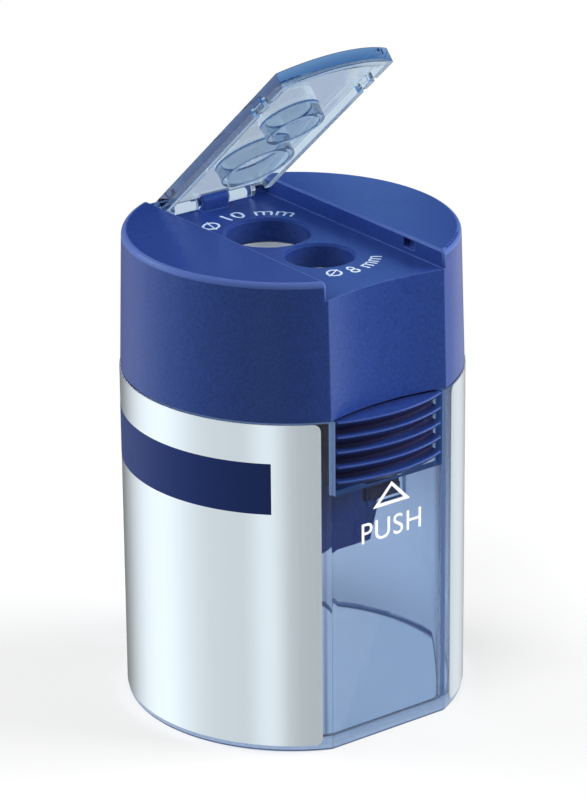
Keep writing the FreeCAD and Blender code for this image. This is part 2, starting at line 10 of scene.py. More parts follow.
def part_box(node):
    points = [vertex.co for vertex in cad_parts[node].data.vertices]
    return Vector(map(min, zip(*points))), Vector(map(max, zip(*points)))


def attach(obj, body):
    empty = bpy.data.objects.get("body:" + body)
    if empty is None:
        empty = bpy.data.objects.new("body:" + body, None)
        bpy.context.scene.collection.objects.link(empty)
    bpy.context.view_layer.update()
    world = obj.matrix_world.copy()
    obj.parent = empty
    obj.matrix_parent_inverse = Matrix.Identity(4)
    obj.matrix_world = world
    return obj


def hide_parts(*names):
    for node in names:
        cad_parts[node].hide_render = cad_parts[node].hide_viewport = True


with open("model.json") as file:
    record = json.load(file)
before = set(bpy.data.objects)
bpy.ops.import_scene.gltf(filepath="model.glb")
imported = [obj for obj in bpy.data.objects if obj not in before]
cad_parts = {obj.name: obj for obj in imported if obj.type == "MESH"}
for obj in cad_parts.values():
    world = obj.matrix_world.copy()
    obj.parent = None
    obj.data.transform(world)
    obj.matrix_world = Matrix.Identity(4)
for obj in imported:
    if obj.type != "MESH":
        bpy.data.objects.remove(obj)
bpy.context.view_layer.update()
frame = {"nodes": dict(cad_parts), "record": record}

bl_info = {
    "name": "Tub pencil sharpener",
    "version": (1, 0, 0),
    "blender": (4, 5, 0),
    "location": "View3D > Sidebar > Sharpener",
    "description": "Dresses a two-hole tub pencil sharpener with a flip-up lid, and sets its studio stage",
    "category": "Object",
}

MM = 0.001

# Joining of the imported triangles
MERGE_DISTANCE = 1e-6
FLAT_ANGLE = math.radians(0.3)
SHARP_ANGLE = math.radians(32)

# Marks on the meshes, which place painted highlights and painted shade: the attribute that holds them, the
# part of a unit normal that counts as facing a way, how far under the rim the tub's sills lie at least, the
# strongest mark on a rib's crest, and the share of the ribs' half width past which their ends begin
PAINTED_SHADING = "bend"
FACING = 0.9
SILL_DROP = 1 * MM
CREST_LIGHT = 0.5
RIB_SHARE = 0.9

# Lid: material index of its rounded edges, depth of the upper ones, and widths of its side rims and left
# wall, which decide where the lid gets painted dark lines and painted shade
ROUNDED = 1
UPPER_DEPTH = 0.5 * MM
RIM_BAND = 2 * MM
WALL_BAND = 1 * MM

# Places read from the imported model, lead-in of the pencil holes and half a label's thickness, in metres
TUB_LOW, TUB_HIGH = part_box("tub")
LABEL_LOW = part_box("left_label")[0]
MOUNTS = {mount["name"]: mount for mount in frame["record"]["mounts"]}
LARGE_HOLE = MOUNTS["large_pencil_hole"]
SMALL_HOLE = MOUNTS["small_pencil_hole"]
HOLE_LEAD = 0.3 * MM
CHANNEL_FLOOR = LARGE_HOLE["pos_m"][2] + LARGE_HOLE["dims"]["length_mm"] * MM / 2 + HOLE_LEAD
FRONT_Y = TUB_LOW.y
LABEL_RADIUS = -LABEL_LOW.x
LABEL_HALF = 0.05 * MM

# Finishes: painted highlight on a plastic edge, strength of a painted dark line in the clear plastic, bounces
# and reflections after which the clear plastic shows a painted glow of its edge colour, and roughness of the
# ink
EDGE_LIGHT = 0.6
LINE_STRENGTH = 0.93
MOST_BOUNCES = 7.5
MOST_REFLECTIONS = 1.5
INK_GLOSS = 0.45

# Print: turn of a number round its hole in radians, height of a figure as a share of the text size,
# and space between the letters of the word
NUMBER_TURN = 0.16
FIGURE_SHARE = 0.7
WORD_SPACING = 1.08

# Stage: its middle and half the floor's width in metres, white, and light from all round in the shine
STAGE_MIDDLE = Vector((0, 0, 35 * MM))
FLOOR_HALF = 3
WHITE = (1, 1, 1, 1)
SHINE_AMBIENT = 0.15

# Floor: least glow, and the distances between which the shadow and the painted glow and shade under the tub
# fade out
SHADOW_LIFT = 0.5
SHADOW_FADE = (30 * MM, 110 * MM)
UNDER_TUB_GLOW_FADE = (24 * MM, 45 * MM)

# Lamp inside the tub: place and radius in metres, and power
TUB_LAMP_PLACE = (5 * MM, 6 * MM, 12 * MM)
TUB_LAMP_RADIUS = 5 * MM
TUB_LAMP_POWER = 0.0085

# Lamps: name, turn and rise in degrees, distance and size in metres, power, and whether the shine shows them
LAMPS = (
    ("key_box", -140, 16, 0.6, 0.4, 4.2, False),
    ("right_box", 55, 20, 0.6, 0.4, 6.8, False),
    ("front_box", -66, 62, 0.6, 0.25, 1.85, False),
    ("back_box", -153, 34, 0.5, 0.2, 0.35, True),
)

# Soft light panels on a backdrop: turn of the middle and half width in degrees, and brightness in the middle
WALL_PANELS = (
    (-143, 56, 0.84),
    (-85, 75, 0.55),
    (-53, 18, 0.42),
    (-22, 40, 0.27),
    (-1, 5, 6.5),
    (66, 24, 1.7),
    (104, 34, 0.65),
)
TOP_PANELS = ((134, 17, 1),)

# Backdrops that only the shine shows: name, radius, foot and top in metres, first and last turn in degrees,
# colour, brightness between the panels, and panels
BACKDROPS = (
    ("studio_wall", 300 * MM, -230 * MM, 20 * MM, -195, 165, (1, 1, 1), 0.22, WALL_PANELS),
    ("top_card", 70 * MM, 66 * MM, 125 * MM, 110, 175, (0.26, 0.5, 0.85), 0.04, TOP_PANELS),
)


def length(name, description, default):
    """A length setting, in metres."""
    return FloatProperty(name=name, description=description, default=default, unit="LENGTH", precision=5)


def angle(name, description, degrees):
    """An angle setting, with its default in degrees."""
    return FloatProperty(name=name, description=description, default=math.radians(degrees), subtype="ANGLE")


def colour(name, description, default):
    """A colour setting with opacity."""
    return FloatVectorProperty(
        name=name, description=description, default=default, size=4, subtype="COLOR", min=0, max=1
    )


class SharpenerSizes(bpy.types.PropertyGroup):
    plastic_round: length("Plastic edge", "Soft edge of the blue plastic", 0.25 * MM)
    rib_shade: length("Rib shade", "Depth behind a rib's crest where the shade starts", 0.17 * MM)
    head_strip: length("Head strip", "Widest face of the head that is part of a small fillet", 0.18 * MM)
    tub_strip: length("Tub strip", "Widest face of the tub that is part of a fillet", 0.25 * MM)
    lid_round: length("Lid edge", "Rounding of the lid's edges", 0.3 * MM)
    ink: length("Ink", "Thickness of the printed ink", 0.02 * MM)
    number_size: length("Number size", "Height of the numbers beside the pencil holes", 3.2 * MM)
    number_gap: length("Number gap", "Space between a pencil hole and its number", 1.2 * MM)
    word_size: length("Word size", "Height of the word on the tub's front", 3.9 * MM)
    word_z: length("Word height", "Baseline of the word on the tub's front", 26.8 * MM)
    mark_x: length("Mark place", "Middle of the triangle and word, right of centre", 0.35 * MM)
    triangle_low: length("Triangle foot", "Height of the triangle's foot", 31.1 * MM)
    triangle_high: length("Triangle tip", "Height of the triangle's tip", 34.1 * MM)
    triangle_half: length("Triangle half width", "Half of the triangle's width", 2.9 * MM)
    triangle_line: length("Triangle line", "Width of the triangle's line", 0.42 * MM)
    panel_low: length("Panel foot", "Height of the lower edge of the blue panel on the foil", 32.3 * MM)
    panel_high: length("Panel top", "Height of the upper edge of the blue panel on the foil", 39.0 * MM)
    panel_near: angle("Panel near end", "Front end of the panel, round from the tub's front", 43.9)
    panel_far: angle("Panel far end", "Back end of the panel, round from the tub's front", 136.1)


class SharpenerColours(bpy.types.PropertyGroup):
    plastic: colour("Head plastic", "Moulded blue of the head, latch and carrier", (0.018, 0.042, 0.198, 1))
    # Painted highlight: this lighter blue is mixed in along edges, fillets and rib crests
    plastic_edge_highlight: colour("Plastic edge", "Head plastic where an edge catches the light", (0.1, 0.16, 0.42, 1))
    # Painted shade: this darker colour is mixed in where the marks fall below 0, in the rib valleys
    plastic_fold_shade: colour("Plastic fold", "Head plastic deep in a fold", (0.02, 0.02, 0.06, 1))
    tub_face: colour("Tub face", "Tint at a face of the see-through tub", (0.765, 0.831, 0.911, 1))
    tub: colour("Tub plastic", "Tint of one millimetre of the see-through tub", (0.94, 0.953, 0.968, 1))
    # Painted glow: light that stays inside the tub shows as this colour, though the tub is no lamp
    tub_edge_glow: colour("Tub edge", "Light caught inside the see-through tub", (0.17, 0.25, 0.44, 1))
    # Painted shade: dark lines mixed into the clear plastic along marked edges, fillets, sills and the lid's
    # left wall
    clear_line: colour("Clear line", "Tint along the edges of the see-through plastic", (0.02, 0.06, 0.18, 1))
    lid_face: colour("Lid face", "Tint at a face of the see-through lid", (0.7, 0.79, 0.87, 1))
    lid: colour("Lid plastic", "Tint of one millimetre of the see-through lid", (0.88, 0.92, 0.955, 1))
    # Painted glow: light that stays inside the lid shows as this colour, though the lid is no lamp
    lid_edge_glow: colour("Lid edge", "Light caught inside the see-through lid", (0.66, 0.77, 0.92, 1))
    foil: colour("Foil", "Silver foil of the labels", (0.80, 0.90, 0.965, 1))
    label_back: colour("Label back", "Paper side of the labels, seen through the tub", (0.88, 0.87, 0.88, 1))
    panel: colour("Panel ink", "Blue panel printed on the foil", (0.011, 0.028, 0.125, 1))
    white: colour("White ink", "Ink of the triangle and word", (0.9, 0.92, 0.94, 1))
    pale: colour("Pale ink", "Ink of the numbers beside the pencil holes", (0.52, 0.62, 0.78, 1))
    alloy: colour("Light alloy", "Body of the metal sharpener", (0.95, 0.95, 0.94, 1))
    steel: colour("Steel", "Blades and screws", (0.62, 0.63, 0.65, 1))
    # Painted glow and shade: the floor glows in this dim blue where it is seen straight through the tub's
    # base
    under_tub_glow: colour("Under the tub", "Floor seen through the tub's base", (0.46, 0.58, 0.76, 1))
    floor: colour("Floor", "Studio floor, as the camera sees it", (0.71, 0.71, 0.71, 1))
    bounce: colour("Floor bounce", "Studio floor, as it lights the object", (0.3, 0.3, 0.3, 1))


class SharpenerStage(bpy.types.PropertyGroup):
    azimuth: angle("Azimuth", "Camera's turn round the object, from its front", -36.675)
    elevation: angle("Elevation", "Camera's height angle", 22.059)
    roll: angle("Roll", "Camera's tilt about its own axis", -0.529)
    distance: length("Distance", "Camera to its target", 501.344 * MM)
    lens: FloatProperty(
        name="Lens",
        description="Focal length on a 36 mm sensor",
        default=177.59,
        unit="CAMERA",
    )
    target: FloatVectorProperty(
        name="Target",
        description="Point in the middle of the picture",
        default=(2.276 * MM, 2.904 * MM, 37.134 * MM),
        subtype="XYZ",
        unit="LENGTH",
    )
    ambient: FloatProperty(name="Ambient", description="Light from all round", default=0.2, min=0)


def sizes():
    return bpy.context.scene.sharpener_sizes


def colours():
    return bpy.context.scene.sharpener_colours


# Node helpers


def add_node(tree, kind, values=None, **settings):
    """A node with its settings and its unlinked input values, given by socket name."""
    made = tree.nodes.new(kind)
    for name, value in settings.items():
        setattr(made, name, value)
    for name, value in (values or {}).items():
        made.inputs[name].default_value = value
    return made


def join(tree, start, start_socket, end, end_socket):
    """Links an output of one node to an input of another."""
    tree.links.new(start.outputs[start_socket], end.inputs[end_socket])


def math_node(tree, operation, first, second=None):
    """A Math node fed by sockets or plain numbers, giving its output socket."""
    made = tree.nodes.new("ShaderNodeMath")
    made.operation = operation
    for index, value in enumerate((first, second)):
        if value is None:
            continue
        if isinstance(value, (int, float)):
            made.inputs[index].default_value = value
        else:
            tree.links.new(value, made.inputs[index])
    return made.outputs[0]


def new_group(name, inputs, outputs):
    """An empty shader node group with float inputs and outputs."""
    tree = bpy.data.node_groups.new(name, "ShaderNodeTree")
    for label, default in inputs.items():
        socket = tree.interface.new_socket(label, in_out="INPUT", socket_type="NodeSocketFloat")
        socket.default_value = default
    for label in outputs:
        tree.interface.new_socket(label, in_out="OUTPUT", socket_type="NodeSocketFloat")
    return tree, tree.nodes.new("NodeGroupInput"), tree.nodes.new("NodeGroupOutput")


def vary_gloss(tree, start, noise, end):
    """Roughness of a group: its gloss, with a noise spread over its gloss range."""
    spread = math_node(tree, "SUBTRACT", noise.outputs["Fac"], 0.5)
    scaled = math_node(tree, "MULTIPLY", spread, start.outputs["Gloss Range"])
    rough = add_node(tree, "ShaderNodeMath", operation="ADD", use_clamp=True)
    tree.links.new(scaled, rough.inputs[0])
    join(tree, start, "Gloss", rough, 1)
    join(tree, rough, 0, end, "Roughness")


def grain_group():
    """Fine moulded grain: a height, and a slow drift of the gloss over the surface."""
    name = "moulded_grain"
    if name in bpy.data.node_groups:
        return bpy.data.node_groups[name]
    inputs = {"Grain Scale": 3500, "Drift Scale": 90, "Gloss": 0.35, "Gloss Range": 0.06}
    tree, start, end = new_group(name, inputs, ("Height", "Roughness", "Drift"))
    place = add_node(tree, "ShaderNodeTexCoord")
    grain = add_node(tree, "ShaderNodeTexNoise", {"Detail": 3, "Roughness": 0.6})
    drift = add_node(tree, "ShaderNodeTexNoise", {"Detail": 2})
    for noise, scale in ((grain, "Grain Scale"), (drift, "Drift Scale")):
        join(tree, place, "Object", noise, "Vector")
        join(tree, start, scale, noise, "Scale")
    join(tree, grain, "Fac", end, "Height")
    vary_gloss(tree, start, drift, end)
    join(tree, drift, "Fac", end, "Drift")
    return tree


def brushed_group():
    """Fine lines along one axis, as on rolled foil and ground metal."""
    name = "brushed_lines"
    if name in bpy.data.node_groups:
        return bpy.data.node_groups[name]
    inputs = {"Across X": 3000, "Across Y": 3000, "Along Z": 60, "Gloss": 0.3, "Gloss Range": 0.08}
    tree, start, end = new_group(name, inputs, ("Height", "Roughness", "Streak"))
    place = add_node(tree, "ShaderNodeTexCoord")
    stretch = add_node(tree, "ShaderNodeVectorMath", operation="MULTIPLY")
    scales = add_node(tree, "ShaderNodeCombineXYZ")
    lines = add_node(tree, "ShaderNodeTexNoise", {"Scale": 1, "Detail": 4, "Roughness": 0.65})
    for socket, axis in (("Across X", "X"), ("Across Y", "Y"), ("Along Z", "Z")):
        join(tree, start, socket, scales, axis)
    join(tree, place, "Object", stretch, 0)
    join(tree, scales, "Vector", stretch, 1)
    join(tree, stretch, "Vector", lines, "Vector")
    join(tree, lines, "Fac", end, "Height")
    vary_gloss(tree, start, lines, end)
    join(tree, lines, "Fac", end, "Streak")
    return tree


def new_material(name):
    """A new material, its node tree and its shader."""
    material = bpy.data.materials.new(name)
    material.use_nodes = True
    return material, material.node_tree, material.node_tree.nodes["Principled BSDF"]


def add_bump(tree, shader, source, strength, depth):
    """Bump on a shader from a group's height."""
    bump = add_node(tree, "ShaderNodeBump", {"Strength": strength, "Distance": depth})
    join(tree, source, "Height", bump, "Height")
    join(tree, bump, "Normal", shader, "Normal")
    return bump


def tinted(value, factor):
    """A colour times a factor, opaque."""
    return [min(1, channel * factor) for channel in value[:3]] + [1]


def mix_colour(tree, factor, first, second):
    """The output of a colour mix by a factor socket, from sockets or plain colours."""
    mix = add_node(tree, "ShaderNodeMix", data_type="RGBA", clamp_factor=True)
    tree.links.new(factor, mix.inputs["Factor"])
    for label, value in (("A", first), ("B", second)):
        if isinstance(value, bpy.types.NodeSocket):
            tree.links.new(value, mix.inputs[label])
        else:
            mix.inputs[label].default_value = value
    return mix.outputs["Result"]


def shade_between(tree, source, output, tone, low, high):
    """The output of a mix that drifts between two strengths of one tone."""
    return mix_colour(tree, source.outputs[output], tinted(tone, low), tinted(tone, high))


def use_group(tree, group, **values):
    """A node of a group, with its input values given by socket name."""
    made = tree.nodes.new("ShaderNodeGroup")
    made.node_tree = group
    for name, value in values.items():
        made.inputs[name.replace("_", " ")].default_value = value
    return made


def plastic_material():
    """Opaque blue with a fine satin grain, a painted highlight along its edges, fillets and rib crests, and
    painted shade in its rib valleys.
    """
    name = "moulded_blue"
    if name in bpy.data.materials:
        return bpy.data.materials[name]
    material, tree, shader = new_material(name)
    grain = use_group(tree, grain_group(), Grain_Scale=2600, Drift_Scale=120, Gloss=0.29, Gloss_Range=0.1)
    body = shade_between(tree, grain, "Height", colours().plastic, low=0.5, high=1.5)
    bend = add_node(tree, "ShaderNodeAttribute", attribute_name=PAINTED_SHADING)
    soft = add_node(tree, "ShaderNodeBevel", {"Radius": sizes().plastic_round}, samples=6)
    shape = tree.nodes.new("ShaderNodeNewGeometry")
    turned = add_node(tree, "ShaderNodeVectorMath", operation="DOT_PRODUCT")
    join(tree, soft, "Normal", turned, 0)
    join(tree, shape, "Normal", turned, 1)
    # Painted highlight: the blue turns lighter where the rounded normal leans away from the face, along every
    # edge
    edge = add_node(tree, "ShaderNodeMapRange", {"From Min": 1, "From Max": 0.8, "To Max": EDGE_LIGHT})
    join(tree, turned, "Value", edge, "Value")
    # Marks above 0 give a painted highlight on fillets and rib crests, marks below 0 painted shade in rib
    # valleys
    fillet = math_node(tree, "MULTIPLY", bend.outputs["Fac"], EDGE_LIGHT)
    fold = math_node(tree, "MULTIPLY", bend.outputs["Fac"], -1)
    light = math_node(tree, "MAXIMUM", edge.outputs["Result"], fillet)
    edged = mix_colour(tree, light, body, colours().plastic_edge_highlight)
    tree.links.new(mix_colour(tree, fold, edged, colours().plastic_fold_shade), shader.inputs["Base Color"])
    shader.inputs["Specular IOR Level"].default_value = 0.32
    shader.inputs["Specular Tint"].default_value = (0.5, 0.8, 1, 1)
    shader.inputs["Coat Weight"].default_value = 0.02
    shader.inputs["Coat Roughness"].default_value = 0.2
    join(tree, grain, "Roughness", shader, "Roughness")
    bump = add_bump(tree, shader, grain, strength=0.35, depth=0.04 * MM)
    join(tree, soft, "Normal", bump, "Normal")
    return material


def clear_material(name, face, tint, edge):
    """See-through plastic, polished and tinted by depth.

    Lamps shine through it, and light that bounces on inside it shows as a painted glow of its edge colour,
    though the plastic is no lamp. Marked places get painted dark lines.
    """
    material, tree, shader = new_material(name)
    grain = use_group(tree, grain_group(), Grain_Scale=400, Drift_Scale=60, Gloss=0.03, Gloss_Range=0.03)
    bend = add_node(tree, "ShaderNodeAttribute", attribute_name=PAINTED_SHADING)
    # Painted shade: the clear plastic darkens towards the clear line colour where the mesh is marked
    line = math_node(tree, "MULTIPLY", math_node(tree, "ABSOLUTE", bend.outputs["Fac"]), LINE_STRENGTH)
    tree.links.new(mix_colour(tree, line, face, colours().clear_line), shader.inputs["Base Color"])
    shader.inputs["Transmission Weight"].default_value = 1
    shader.inputs["IOR"].default_value = 1.45
    join(tree, grain, "Roughness", shader, "Roughness")
    add_bump(tree, shader, grain, strength=0.04, depth=0.05 * MM)
    path = tree.nodes.new("ShaderNodeLightPath")
    thin = add_node(tree, "ShaderNodeBsdfTransparent", {"Color": [channel ** 0.5 for channel in face]})
    # Painted glow: paths that bounce on too long inside end in this emission
    glow = add_node(tree, "ShaderNodeEmission", {"Color": edge, "Strength": 1})
    losses = [-math.log(channel) / MM for channel in tint[:3]]
    kept = [1 - loss / max(losses) for loss in losses]
    depth = add_node(tree, "ShaderNodeVolumeAbsorption", {"Color": kept + [1], "Density": max(losses)})
    lit = tree.nodes.new("ShaderNodeMixShader")
    deep = tree.nodes.new("ShaderNodeMixShader")
    out = tree.nodes["Material Output"]
    passing = math_node(tree, "MAXIMUM", path.outputs["Is Shadow Ray"], path.outputs["Is Diffuse Ray"])
    tree.links.new(passing, lit.inputs["Fac"])
    tree.links.new(shader.outputs["BSDF"], lit.inputs[1])
    tree.links.new(thin.outputs["BSDF"], lit.inputs[2])
    many = math_node(tree, "GREATER_THAN", path.outputs["Ray Depth"], MOST_BOUNCES)
    inner = math_node(tree, "GREATER_THAN", path.outputs["Glossy Depth"], MOST_REFLECTIONS)
    tree.links.new(math_node(tree, "MAXIMUM", many, inner), deep.inputs["Fac"])
    tree.links.new(lit.outputs["Shader"], deep.inputs[1])
    tree.links.new(glow.outputs["Emission"], deep.inputs[2])
    join(tree, deep, "Shader", out, "Surface")
    join(tree, depth, "Volume", out, "Volume")
    return material


def foil_material():
    """Silver foil with fine upright lines on the front of a label, and paper on its back."""
    name = "satin_foil"
    if name in bpy.data.materials:
        return bpy.data.materials[name]
    material, tree, shader = new_material(name)
    lines = use_group(
        tree, brushed_group(), Across_X=1500, Across_Y=1500, Along_Z=30, Gloss=0.22, Gloss_Range=0.1
    )
    place = tree.nodes.new("ShaderNodeTexCoord")
    parts = tree.nodes.new("ShaderNodeSeparateXYZ")
    join(tree, place, "Object", parts, "Vector")
    squares = [math_node(tree, "POWER", parts.outputs[axis], 2) for axis in "XY"]
    reach = math_node(tree, "SQRT", math_node(tree, "ADD", *squares))
    front = math_node(tree, "GREATER_THAN", reach, LABEL_RADIUS - LABEL_HALF)
    silver = shade_between(tree, lines, "Streak", colours().foil, low=0.97, high=1.03)
    sides = mix_colour(tree, front, colours().label_back, silver)
    tree.links.new(sides, shader.inputs["Base Color"])
    tree.links.new(front, shader.inputs["Metallic"])
    join(tree, lines, "Roughness", shader, "Roughness")
    add_bump(tree, shader, lines, strength=0.05, depth=0.01 * MM)
    return material


def ink_material(name, tone):
    """Printed ink with little shine."""
    material, tree, shader = new_material(name)
    shader.inputs["Specular IOR Level"].default_value = 0.12
    grain = use_group(
        tree, grain_group(), Grain_Scale=5000, Drift_Scale=300, Gloss=INK_GLOSS, Gloss_Range=0.1
    )
    shade = shade_between(tree, grain, "Drift", tone, low=0.95, high=1.05)
    tree.links.new(shade, shader.inputs["Base Color"])
    join(tree, grain, "Roughness", shader, "Roughness")
    add_bump(tree, shader, grain, strength=0.1, depth=0.01 * MM)
    return material


def metal_material(name, tone, metallic, gloss, lines_across):
    """Metal with fine machined lines."""
    material, tree, shader = new_material(name)
    lines = use_group(
        tree,
        brushed_group(),
        Across_X=lines_across,
        Across_Y=lines_across,
        Along_Z=100,
        Gloss=gloss,
        Gloss_Range=0.15,
    )
    shader.inputs["Metallic"].default_value = metallic
    shade = shade_between(tree, lines, "Streak", tone, low=0.9, high=1.06)
    tree.links.new(shade, shader.inputs["Base Color"])
    join(tree, lines, "Roughness", shader, "Roughness")
    add_bump(tree, shader, lines, strength=0.15, depth=0.02 * MM)
    return material


# Mesh helpers


def place_piece(name, mesh, body, slot, material, *stands_for):
    """Puts a finished mesh in the scene as a piece of the object."""
    mesh.materials.clear()
    mesh.materials.append(material)
    piece = bpy.data.objects.new(name, mesh)
    bpy.context.scene.collection.objects.link(piece)
    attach(piece, body)
    if stands_for:
        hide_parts(*stands_for)


def finish_node(node, material):
    """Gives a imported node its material."""
    mesh = frame["nodes"][node].data
    mesh.materials.clear()
    mesh.materials.append(material)


def joined_mesh(node):
    """A copy of a node's mesh with its loose triangles joined and its flat faces made whole."""
    source = frame["nodes"][node].data
    mesh = bpy.data.meshes.new(node + "_joined")
    mesh.from_pydata([v.co for v in source.vertices], [], [p.vertices for p in source.polygons])
    work = bmesh.new()
    work.from_mesh(mesh)
    bmesh.ops.remove_doubles(work, verts=work.verts, dist=MERGE_DISTANCE)
    bmesh.ops.dissolve_degenerate(work, edges=work.edges, dist=MERGE_DISTANCE)
    bmesh.ops.dissolve_limit(work, angle_limit=FLAT_ANGLE, verts=work.verts, edges=work.edges)
    work.to_mesh(mesh)
    work.free()
    return mesh


def finished_mesh(carrier, name):
    """The mesh that an object's modifiers give, as a plain mesh. The object goes."""
    graph = bpy.context.evaluated_depsgraph_get()
    mesh = bpy.data.meshes.new_from_object(carrier.evaluated_get(graph), depsgraph=graph)
    mesh.name = name
    bpy.data.objects.remove(carrier)
    return mesh


def smooth_mesh(node):
    """A node's joined shape, smooth but for its sharp edges and its flat faces."""
    mesh = joined_mesh(node)
    mesh.shade_smooth()
    mesh.set_sharp_from_angle(angle=SHARP_ANGLE)
    carrier = bpy.data.objects.new(node + "_smoothing", mesh)
    bpy.context.scene.collection.objects.link(carrier)
    flats = carrier.modifiers.new("flats", "WEIGHTED_NORMAL")
    flats.weight = 100
    flats.keep_sharp = True
    return finished_mesh(carrier, node + "_smooth")


def mark_painted_shading(mesh, strengths, whole=()):
    """Marks the face corners with the bend at each point, and whole faces with a full bend, for painted
    highlights and painted shade.
    """
    marks = [strengths[loop.vertex_index] for loop in mesh.loops]
    for polygon in whole:
        for index in polygon.loop_indices:
            marks[index] = 1
    mesh.attributes.new(PAINTED_SHADING, "FLOAT", "CORNER").data.foreach_set("value", marks)


def mark_fillets(mesh, widest, whole=()):
    """Marks the points inside fillets, where all faces round about are narrow strips. The marks give a
    painted highlight on the blue plastic and a painted dark line on the clear plastic.
    """
    work = bmesh.new()
    work.from_mesh(mesh)
    strips = set()
    for face in work.faces:
        longest = max(edge.calc_length() for edge in face.edges)
        if face.calc_area() < widest * longest:
            strips.add(face)
    mark_painted_shading(mesh, [float(strips.issuperset(vert.link_faces)) for vert in work.verts], whole)
    work.free()


def mark_ribs(mesh, shade):
    """Marks how far each point lies behind the rib crests: above 0 on a crest, for a painted highlight, below
    0 in a valley, for painted shade.
    """
    points = [vert.co for vert in mesh.vertices]
    front = min(points, key=lambda point: point.y)
    reach = RIB_SHARE * max(point.x for point in points)
    side = min((point for point in points if point.x > reach), key=lambda point: point.y)
    bow = (side.y - front.y) / side.x ** 2
    depths = [point.y - front.y - bow * point.x ** 2 for point in points]
    mark_painted_shading(mesh, [max(-1, min(CREST_LIGHT, (shade - depth) / (2 * shade))) for depth in depths])


def mark_edges(mesh):
    """Marks the rounded edges but for the side rims' lower ones, and the wall that faces left, for painted
    dark lines and painted shade.
    """
    half = max(vert.co.x for vert in mesh.vertices)
    top = max(mesh.polygons, key=lambda face: face.area)
    whole = []
    for face in mesh.polygons:
        upper = (top.center - face.center).dot(top.normal) < UPPER_DEPTH
        inner = abs(face.center.x) < half - RIM_BAND
        edge = face.material_index == ROUNDED and (upper or inner)
        left_wall = face.normal.x < -FACING and face.center.x < WALL_BAND - half
        if edge or left_wall:
            whole.append(face)
    mark_painted_shading(mesh, [0] * len(mesh.vertices), whole)


def rounded_mesh(node, width):
    """A node's shape with its sharp edges rounded and marked."""
    mesh = joined_mesh(node)
    mesh.shade_smooth()
    for _ in range(ROUNDED + 1):
        mesh.materials.append(None)
    carrier = bpy.data.objects.new(node + "_rounding", mesh)
    bpy.context.scene.collection.objects.link(carrier)
    bevel = carrier.modifiers.new("edges", "BEVEL")
    bevel.width = width
    bevel.segments = 2
    bevel.limit_method = "ANGLE"
    bevel.angle_limit = SHARP_ANGLE
    bevel.harden_normals = True
    bevel.material = ROUNDED
    mesh = finished_mesh(carrier, node + "_rounded")
    mark_edges(mesh)
    for polygon in mesh.polygons:
        polygon.material_index = 0
    return mesh


def node_tree_mesh(tree, name, values):
    """Runs a Geometry Nodes tree with its named inputs and gives the mesh that it makes."""
    carrier = bpy.data.objects.new(name + "_carrier", bpy.data.meshes.new(name + "_seed"))
    bpy.context.scene.collection.objects.link(carrier)
    modifier = carrier.modifiers.new("shape", "NODES")
    modifier.node_group = tree
    identifiers = {item.name: item.identifier for item in tree.interface.items_tree if item.in_out == "INPUT"}
    for label, value in values.items():
        modifier[identifiers[label]] = value
    return finished_mesh(carrier, name)


def new_shape_tree(name, inputs):
    """An empty Geometry Nodes tree with named inputs, given as socket type and default."""
    tree = bpy.data.node_groups.new(name, "GeometryNodeTree")
    for label, (kind, default) in inputs.items():
        socket = tree.interface.new_socket(label, in_out="INPUT", socket_type=kind)
        if default is not None:
            socket.default_value = default
    tree.interface.new_socket("Geometry", in_out="OUTPUT", socket_type="NodeSocketGeometry")
    return tree, tree.nodes.new("NodeGroupInput"), tree.nodes.new("NodeGroupOutput")


def end_shape_tree(tree, start, end, shape):
    """Realizes instances, sets the material and gives the shape out."""
    real = tree.nodes.new("GeometryNodeRealizeInstances")
    paint = tree.nodes.new("GeometryNodeSetMaterial")
    tree.links.new(shape, real.inputs["Geometry"])
    join(tree, real, "Geometry", paint, "Geometry")
    join(tree, start, "Material", paint, "Material")
    join(tree, paint, "Geometry", end, "Geometry")


